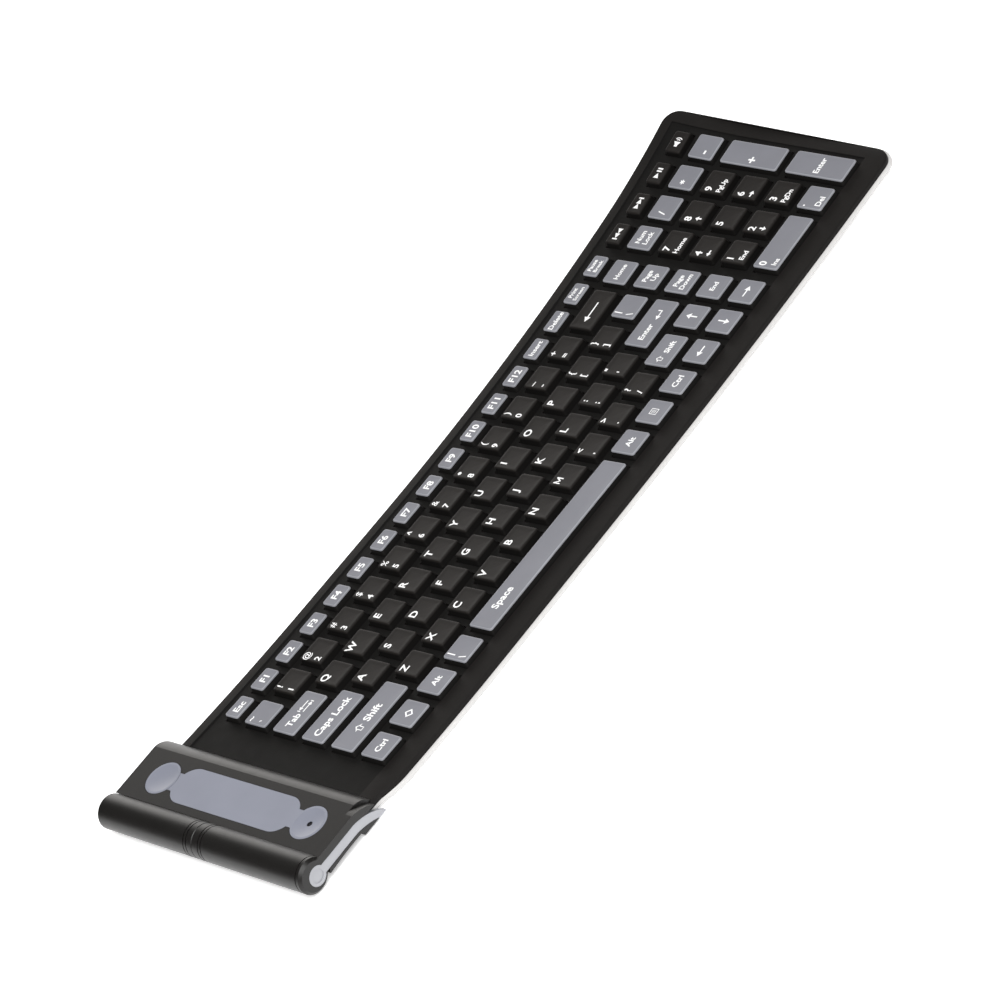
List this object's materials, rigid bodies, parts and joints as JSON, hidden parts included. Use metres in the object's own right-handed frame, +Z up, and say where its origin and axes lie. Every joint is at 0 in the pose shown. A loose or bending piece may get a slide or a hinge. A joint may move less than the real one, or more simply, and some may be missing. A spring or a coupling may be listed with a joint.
{
  "type": "roll-up keyboard",
  "caption": "Flexible silicone keyboard mat with a number pad, clamped into a rigid housing with a round battery tube, saddle, inlay and power button.",
  "frame": {"origin": "middle of the length and width of the object's bounding box, on the table", "axes": "+X along the keyboard from the battery tube to the number pad, +Y to the function row, +Z up"},
  "size_m": [0.4265, 0.1322, 0.0286],
  "materials": {
    "shell_black": "satin",
    "trim_light": "satin",
    "inlay_grey": "satin",
    "lens": "polished",
    "liner": "moulded",
    "cell_wrap": "printed sleeve",
    "contact": "plated",
    "steel": "zinc plated",
    "board": "solder resist",
    "chip": "moulded",
    "shield": "tinned",
    "lamp": "clear",
    "foot_rubber": "matte",
    "skin_black": "matte silicone",
    "film": "printed film",
    "skin_pale": "matte silicone",
    "key_black": "matte silicone",
    "key_grey": "matte silicone"
  },
  "bodies": {
    "housing": {"top_shell": "shell_black", "bottom_shell": "shell_black", "side_trim_front": "trim_light", "side_trim_rear": "trim_light", "inlay_panel": "inlay_grey", "indicator_lens": "lens", "battery_barrel": "liner", "batteries": "cell_wrap", "front_contact": "contact", "circuit_board": "board", "controller_chip": "chip", "radio_module": "shield", "tact_switch": "chip", "status_led": "lamp", "clamp_bar": "steel", "screws": "steel", "feet": "foot_rubber", "top_skin_root": "skin_black", "membrane_root": "film", "base_skin_root": "skin_pale"},
    "power_button": {"power_button": "inlay_grey"},
    "battery_cap": {"battery_cap": "shell_black", "battery_spring": "steel", "cap_contact": "contact"},
    "mat_main": {"top_skin_main": "skin_black", "membrane_main": "film", "base_skin_main": "skin_pale"},
    "esc_key": {"esc_key": "key_grey"},
    "tab_key": {"tab_key": "key_grey"},
    "caps_lock_key": {"caps_lock_key": "key_grey"},
    "left_shift_key": {"left_shift_key": "key_grey"},
    "space_key": {"space_key": "key_grey"},
    "backspace_key": {"backspace_key": "key_black"},
    "enter_key": {"enter_key": "key_grey"},
    "right_shift_key": {"right_shift_key": "key_grey"},
    "function_keys": {"function_keys": "key_grey"},
    "number_keys": {"number_keys": "key_black"},
    "upper_letter_keys": {"upper_letter_keys": "key_black"},
    "home_row_keys": {"home_row_keys": "key_black"},
    "lower_letter_keys": {"lower_letter_keys": "key_black"},
    "modifier_keys": {"modifier_keys": "key_grey"},
    "symbol_keys": {"symbol_keys": "key_grey"},
    "arrow_keys": {"arrow_keys": "key_grey"},
    "mat_nav": {"top_skin_nav": "skin_black", "membrane_nav": "film", "base_skin_nav": "skin_pale"},
    "navigation_keys": {"navigation_keys": "key_grey"},
    "mat_pad": {"top_skin_pad": "skin_black", "membrane_pad": "film", "base_skin_pad": "skin_pale"},
    "pad_digit_keys": {"pad_digit_keys": "key_black"},
    "pad_lock_keys": {"pad_lock_keys": "key_grey"},
    "pad_zero_key": {"pad_zero_key": "key_grey"},
    "mat_end": {"top_skin_end": "skin_black", "membrane_end": "film", "base_skin_end": "skin_pale"},
    "end_digit_keys": {"end_digit_keys": "key_black"},
    "end_symbol_keys": {"end_symbol_keys": "key_grey"},
    "pad_plus_key": {"pad_plus_key": "key_grey"},
    "pad_enter_key": {"pad_enter_key": "key_grey"}
  },
  "joints": [
    {"name": "fold_at_housing", "type": "hinge", "parent": "housing", "child": "mat_main", "pos_m": [-0.15729, -0.0026, 0.00625], "axis": [0, -1, 0], "range_deg": [-4, 90], "stiffness_Nm_per_rad": 3},
    {"name": "fold_at_navigation_keys", "type": "hinge", "parent": "mat_main", "child": "mat_nav", "pos_m": [0.11189, -0.00281, 0.00937], "axis": [0.0032, -0.9989, -0.0459], "range_deg": [0, 55], "stiffness_Nm_per_rad": 4},
    {"name": "fold_at_number_pad", "type": "hinge", "parent": "mat_nav", "child": "mat_pad", "pos_m": [0.1303, -0.00286, 0.01074], "axis": [0.0046, -0.9983, -0.0579], "range_deg": [0, 80], "stiffness_Nm_per_rad": 3},
    {"name": "fold_in_number_pad", "type": "hinge", "parent": "mat_pad", "child": "mat_end", "pos_m": [0.16693, -0.00299, 0.01398], "axis": [0.0084, -0.9963, -0.0858], "range_deg": [0, 60], "stiffness_Nm_per_rad": 2},
    {"name": "power_button_press", "type": "slide", "parent": "housing", "child": "power_button", "axis": [0, 0, 1], "range_m": [-0.0004, 0], "stiffness_N_per_m": 800},
    {"name": "battery_cap_slide", "type": "slide", "parent": "housing", "child": "battery_cap", "axis": [0, 1, 0], "range_m": [0, 0.06]},
    {"name": "esc_key_press", "type": "slide", "parent": "mat_main", "child": "esc_key", "axis": [0.0375, 0, 0.9993], "range_m": [-0.001, 0], "stiffness_N_per_m": 500},
    {"name": "tab_key_press", "type": "slide", "parent": "mat_main", "child": "tab_key", "axis": [0.0344, 0, 0.9994], "range_m": [-0.001, 0], "stiffness_N_per_m": 500},
    {"name": "caps_lock_key_press", "type": "slide", "parent": "mat_main", "child": "caps_lock_key", "axis": [0.0329, 0, 0.9995], "range_m": [-0.001, 0], "stiffness_N_per_m": 500},
    {"name": "left_shift_key_press", "type": "slide", "parent": "mat_main", "child": "left_shift_key", "axis": [0.03, 0, 0.9996], "range_m": [-0.001, 0], "stiffness_N_per_m": 500},
    {"name": "space_key_press", "type": "slide", "parent": "mat_main", "child": "space_key", "axis": [0.0016, -0.0002, 1], "range_m": [-0.001, 0], "stiffness_N_per_m": 500},
    {"name": "backspace_key_press", "type": "slide", "parent": "mat_main", "child": "backspace_key", "axis": [-0.0789, -0.0373, 0.9962], "range_m": [-0.001, 0], "stiffness_N_per_m": 500},
    {"name": "enter_key_press", "type": "slide", "parent": "mat_main", "child": "enter_key", "axis": [-0.0576, -0.0361, 0.9977], "range_m": [-0.001, 0], "stiffness_N_per_m": 500},
    {"name": "right_shift_key_press", "type": "slide", "parent": "mat_main", "child": "right_shift_key", "axis": [-0.0423, -0.0293, 0.9987], "range_m": [-0.001, 0], "stiffness_N_per_m": 500},
    {"name": "function_keys_press", "type": "slide", "parent": "mat_main", "child": "function_keys", "axis": [-0.0252, -0.0094, 0.9996], "range_m": [-0.001, 0], "stiffness_N_per_m": 7500},
    {"name": "number_keys_press", "type": "slide", "parent": "mat_main", "child": "number_keys", "axis": [-0.0149, -0.0056, 0.9999], "range_m": [-0.001, 0], "stiffness_N_per_m": 6000},
    {"name": "upper_letter_keys_press", "type": "slide", "parent": "mat_main", "child": "upper_letter_keys", "axis": [-0.0161, -0.007, 0.9998], "range_m": [-0.001, 0], "stiffness_N_per_m": 6000},
    {"name": "home_row_keys_press", "type": "slide", "parent": "mat_main", "child": "home_row_keys", "axis": [-0.0114, -0.0055, 0.9999], "range_m": [-0.001, 0], "stiffness_N_per_m": 5500},
    {"name": "lower_letter_keys_press", "type": "slide", "parent": "mat_main", "child": "lower_letter_keys", "axis": [-0.0088, -0.0048, 0.9999], "range_m": [-0.001, 0], "stiffness_N_per_m": 5000},
    {"name": "modifier_keys_press", "type": "slide", "parent": "mat_main", "child": "modifier_keys", "axis": [0.002, -0.0067, 1], "range_m": [-0.001, 0], "stiffness_N_per_m": 3500},
    {"name": "symbol_keys_press", "type": "slide", "parent": "mat_main", "child": "symbol_keys", "axis": [-0.017, -0.0201, 0.9997], "range_m": [-0.001, 0], "stiffness_N_per_m": 1000},
    {"name": "arrow_keys_press", "type": "slide", "parent": "mat_main", "child": "arrow_keys", "axis": [-0.0415, -0.0369, 0.9985], "range_m": [-0.001, 0], "stiffness_N_per_m": 1500},
    {"name": "navigation_keys_press", "type": "slide", "parent": "mat_nav", "child": "navigation_keys", "axis": [-0.075, -0.051, 0.9959], "range_m": [-0.001, 0], "stiffness_N_per_m": 3000},
    {"name": "pad_digit_keys_press", "type": "slide", "parent": "mat_pad", "child": "pad_digit_keys", "axis": [-0.0944, -0.0724, 0.9929], "range_m": [-0.001, 0], "stiffness_N_per_m": 4000},
    {"name": "pad_lock_keys_press", "type": "slide", "parent": "mat_pad", "child": "pad_lock_keys", "axis": [-0.1132, -0.0728, 0.9909], "range_m": [-0.001, 0], "stiffness_N_per_m": 1000},
    {"name": "pad_zero_key_press", "type": "slide", "parent": "mat_pad", "child": "pad_zero_key", "axis": [-0.0549, -0.0718, 0.9959], "range_m": [-0.001, 0], "stiffness_N_per_m": 500},
    {"name": "end_digit_keys_press", "type": "slide", "parent": "mat_end", "child": "end_digit_keys", "axis": [-0.1299, -0.1097, 0.9854], "range_m": [-0.001, 0], "stiffness_N_per_m": 2500},
    {"name": "end_symbol_keys_press", "type": "slide", "parent": "mat_end", "child": "end_symbol_keys", "axis": [-0.1191, -0.1121, 0.9865], "range_m": [-0.001, 0], "stiffness_N_per_m": 1500},
    {"name": "pad_plus_key_press", "type": "slide", "parent": "mat_end", "child": "pad_plus_key", "axis": [-0.1124, -0.1123, 0.9873], "range_m": [-0.001, 0], "stiffness_N_per_m": 500},
    {"name": "pad_enter_key_press", "type": "slide", "parent": "mat_end", "child": "pad_enter_key", "axis": [-0.0775, -0.1101, 0.9909], "range_m": [-0.001, 0], "stiffness_N_per_m": 500}
  ]
}
